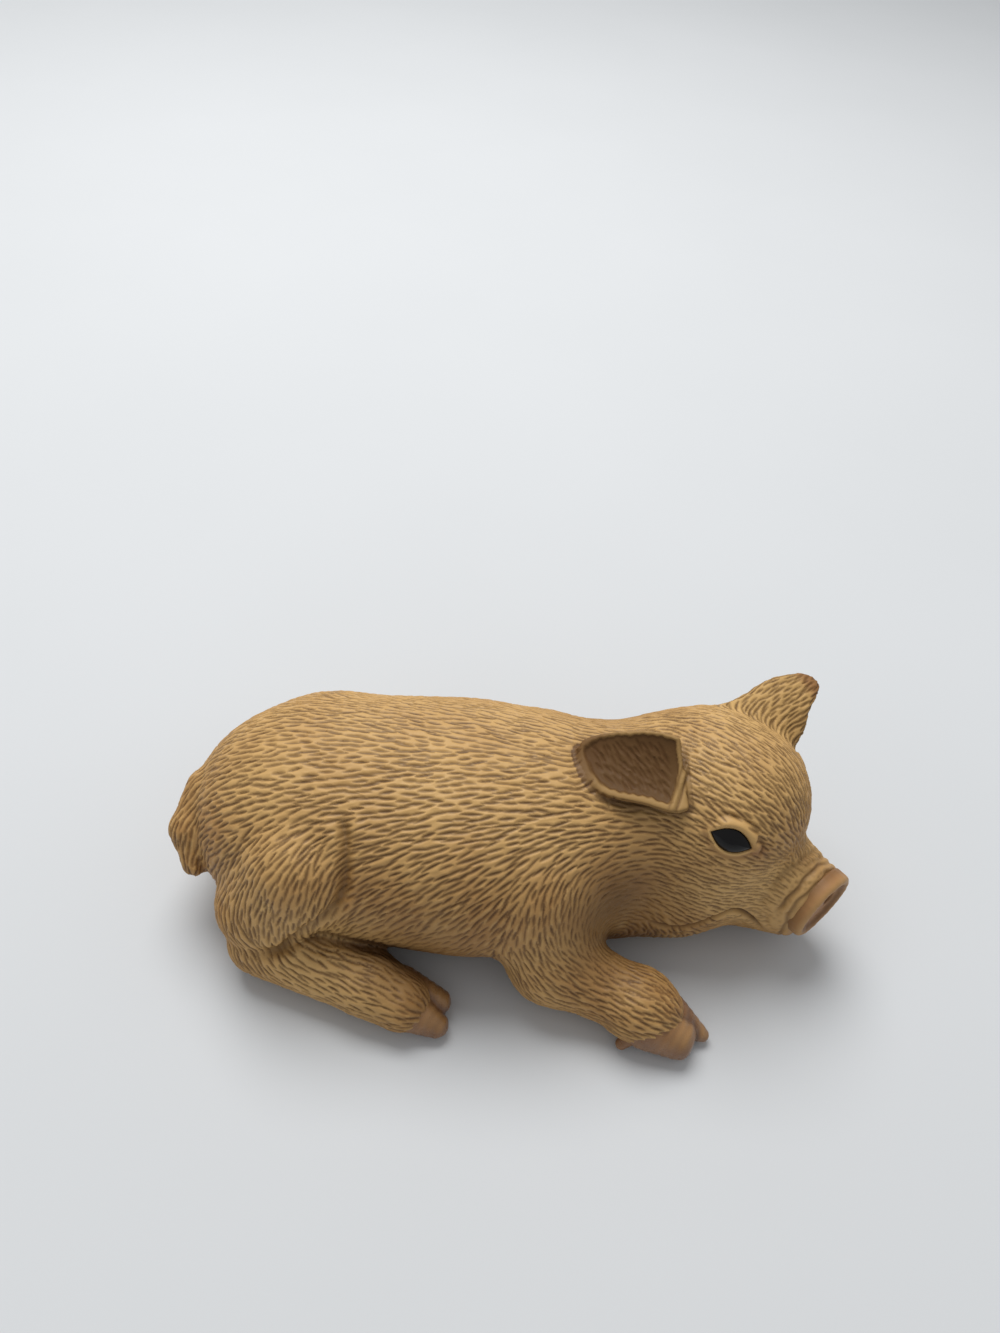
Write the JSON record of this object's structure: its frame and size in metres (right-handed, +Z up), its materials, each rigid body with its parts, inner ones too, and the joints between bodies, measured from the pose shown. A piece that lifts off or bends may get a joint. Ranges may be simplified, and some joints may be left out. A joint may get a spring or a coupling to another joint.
{
  "type": "pig figurine",
  "caption": "Small figurine of a piglet lying on its belly with its legs folded under it, carved bristly coat, glossy eyes, cloven hooves and a curled tail.",
  "frame": {"origin": "on the surface that the pig lies on, under the middle of its overall box", "axes": "+X towards the head end, +Y towards the pig's left side, +Z up"},
  "size_m": [0.0866, 0.0488, 0.0319],
  "materials": {
    "coat": "matte resin, tan with a brown wash in the carved hairs",
    "snout": "matte resin, pinkish tan",
    "ear": "matte resin, tan outside and dark brown inside",
    "eye": "glossy black",
    "hoof": "satin reddish brown"
  },
  "bodies": {
    "root": {"torso": "coat", "head": "coat", "snout_disc": "snout", "right_ear": "ear", "left_ear": "ear", "right_eye": "eye", "left_eye": "eye", "right_foreleg": "coat", "left_foreleg": "coat", "right_hind_leg": "coat", "left_hind_leg": "coat", "right_fore_hoof": "hoof", "left_fore_hoof": "hoof", "right_hind_hoof": "hoof", "left_hind_hoof": "hoof", "right_fore_dewclaws": "hoof", "left_fore_dewclaws": "hoof", "tail": "coat"}
  },
  "joints": []
}
